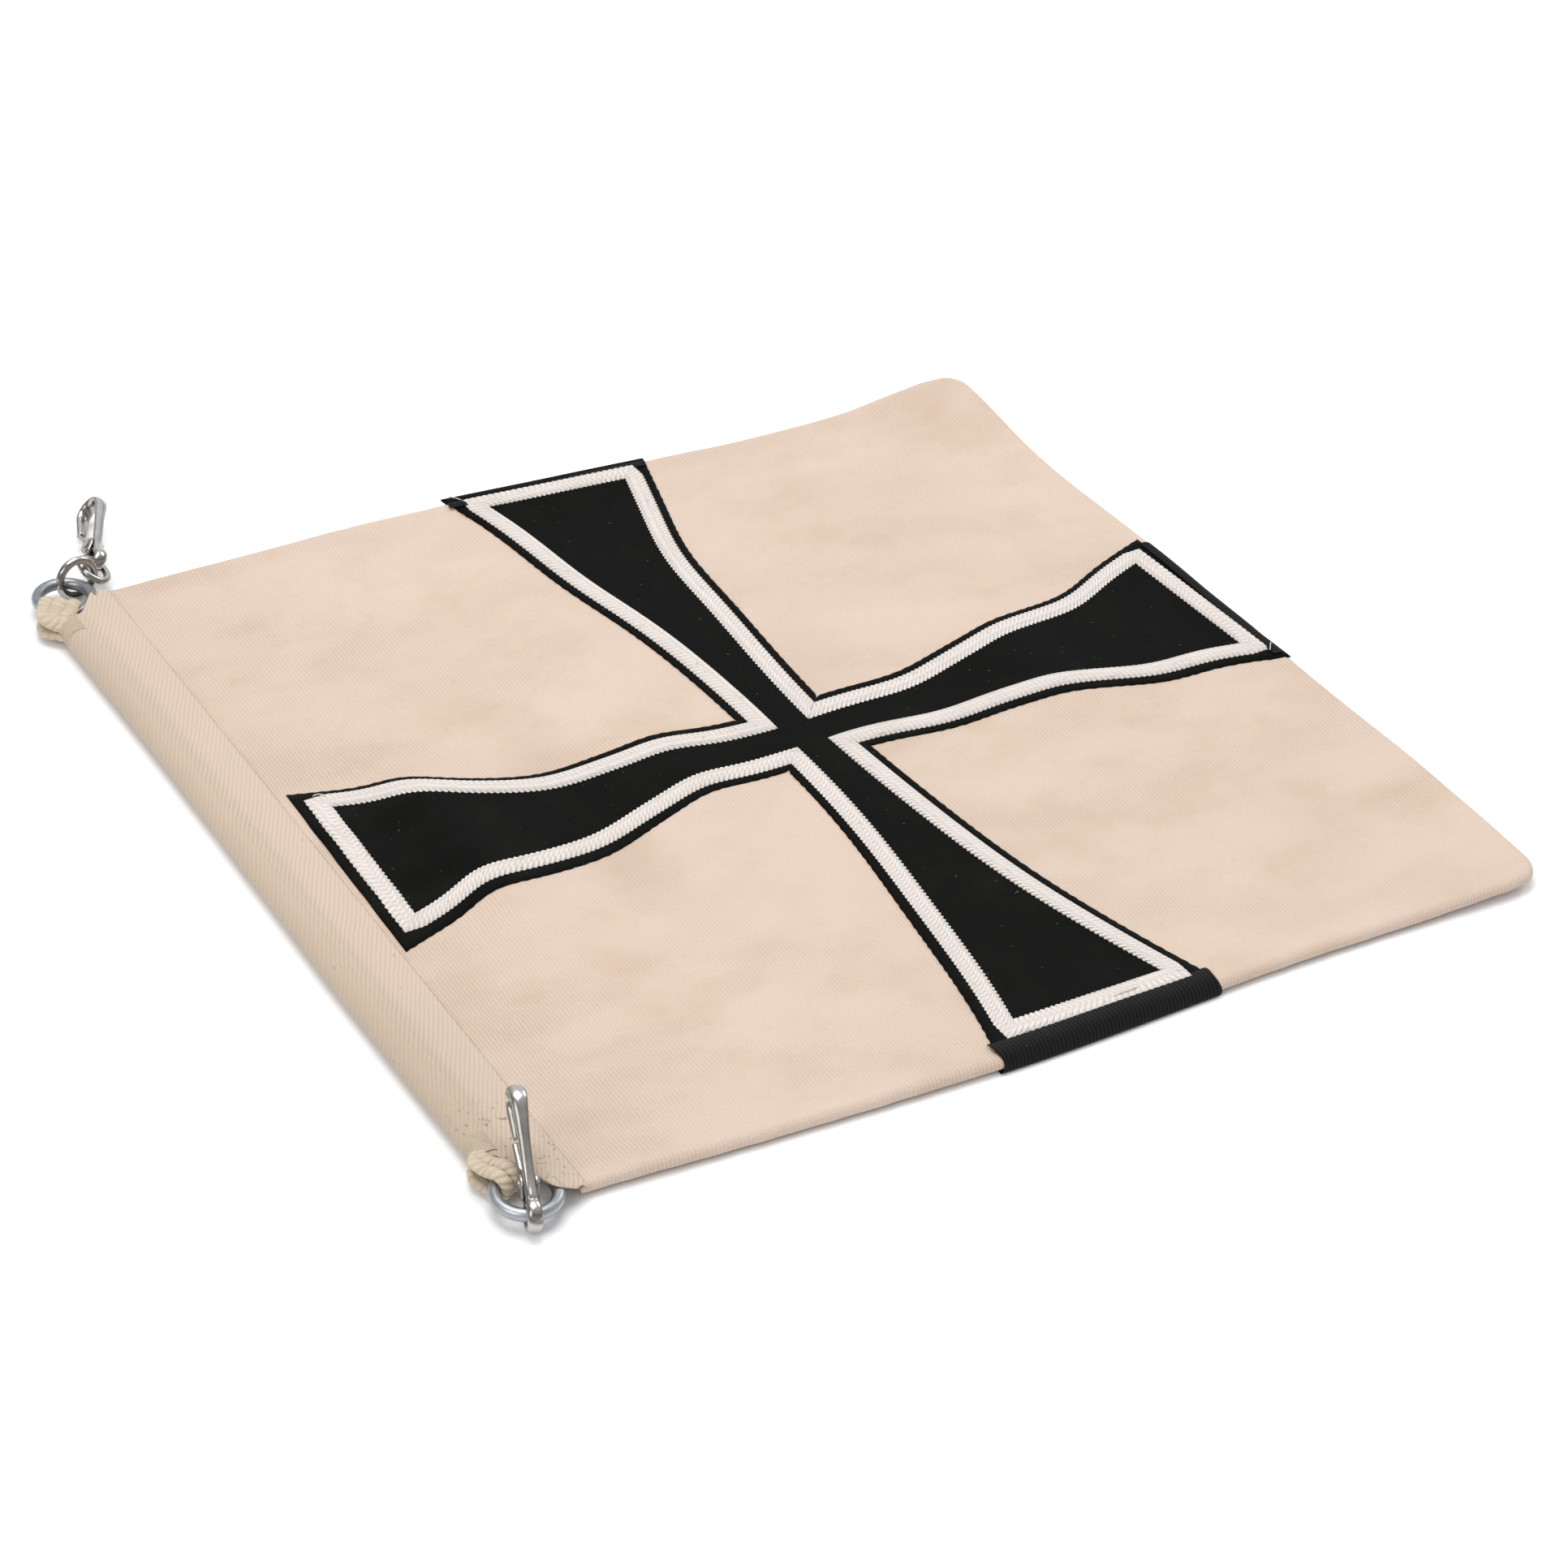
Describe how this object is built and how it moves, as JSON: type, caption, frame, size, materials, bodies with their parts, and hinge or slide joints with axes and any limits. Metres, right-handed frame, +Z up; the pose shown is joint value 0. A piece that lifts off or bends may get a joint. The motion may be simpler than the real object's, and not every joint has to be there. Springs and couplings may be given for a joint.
{
  "type": "square pennant flag with snap hooks",
  "caption": "Square two-layer cream cloth flag with a black, white-edged cross, roped hoist sleeve, two rings and two snap hooks.",
  "frame": {"origin": "under the crossing of the sewn cross, on the plane the flag lies on", "axes": "+Y along the hoist rope from the front ring to the rear ring, +X from the hoist towards the fly edge, +Z up out of the cloth"},
  "size_m": [0.3385, 0.355, 0.0262],
  "materials": {
    "cream_cloth": "matte twill",
    "black_cloth": "matte",
    "white_braid": "matte herringbone weave",
    "sleeve_tape": "matte twill",
    "inner_canvas": "matte",
    "rope": "matte laid rope",
    "thread": "matte",
    "galvanised_steel": "dull",
    "plated_steel": "polished, worn",
    "spring_steel": "satin"
  },
  "bodies": {
    "hoist": {"hoist_sleeve": "sleeve_tape", "hoist_rope": "rope", "front_whipping": "thread", "rear_whipping": "thread"},
    "field": {"field_front_panel": "cream_cloth", "field_back_panel": "cream_cloth", "seam_allowance": "cream_cloth", "interlining": "inner_canvas", "cross_front": "black_cloth", "cross_back": "black_cloth", "braid_front": "white_braid", "braid_back": "white_braid", "rear_edge_wrap": "black_cloth", "fly_edge_wrap": "black_cloth", "front_edge_wrap": "black_cloth"},
    "front_ring": {"front_ring": "galvanised_steel"},
    "front_hook": {"front_hook_body": "plated_steel", "front_hook_rivet": "galvanised_steel", "front_hook_spring": "spring_steel"},
    "front_gate": {"front_hook_gate": "plated_steel"},
    "rear_ring": {"rear_ring": "galvanised_steel"},
    "rear_link": {"rear_link": "plated_steel"},
    "rear_small_ring": {"rear_small_ring": "plated_steel"},
    "rear_hook": {"rear_hook_body": "plated_steel", "rear_hook_rivet": "galvanised_steel", "rear_hook_spring": "spring_steel"},
    "rear_gate": {"rear_hook_gate": "plated_steel"}
  },
  "joints": [
    {"name": "field_swing", "type": "hinge", "parent": "hoist", "child": "field", "pos_m": [-0.155, 0, 0.0023], "axis": [0, 1, 0], "range_deg": [-75, 75]},
    {"name": "front_ring_swing", "type": "hinge", "parent": "hoist", "child": "front_ring", "pos_m": [-0.17409, -0.13913, 0.005], "axis": [0.8988, 0.4384, 0], "range_deg": [-6, 35]},
    {"name": "front_hook_swing", "type": "hinge", "parent": "front_ring", "child": "front_hook", "pos_m": [-0.1729, -0.15434, 0.005], "axis": [0.9563, -0.2924, 0], "range_deg": [0, 120]},
    {"name": "front_gate_turn", "type": "hinge", "parent": "front_hook", "child": "front_gate", "pos_m": [-0.17087, -0.1477, 0.00906], "axis": [0.9563, -0.2924, 0], "range_deg": [0, 18]},
    {"name": "rear_ring_swing", "type": "hinge", "parent": "hoist", "child": "rear_ring", "pos_m": [-0.1734, 0.14428, 0.005], "axis": [0.8192, -0.5736, 0], "range_deg": [-25, 30]},
    {"name": "rear_link_swing", "type": "hinge", "parent": "rear_ring", "child": "rear_link", "pos_m": [-0.16254, 0.15641, 0.005], "axis": [-0.66, 0.7513, 0], "range_deg": [-15, 15]},
    {"name": "rear_small_ring_swing", "type": "hinge", "parent": "rear_link", "child": "rear_small_ring", "pos_m": [-0.15659, 0.15748, 0.00702], "axis": [0.052, 0.068, 0.9963], "range_deg": [-12, 12]},
    {"name": "rear_hook_swing", "type": "hinge", "parent": "rear_small_ring", "child": "rear_hook", "pos_m": [-0.15398, 0.16335, 0.00699], "axis": [0.7014, -0.3079, -0.6428], "range_deg": [-25, 25]},
    {"name": "rear_gate_turn", "type": "hinge", "parent": "rear_hook", "child": "rear_gate", "pos_m": [-0.15124, 0.17089, 0.00638], "axis": [0.7014, -0.3079, -0.6428], "range_deg": [0, 18]}
  ]
}
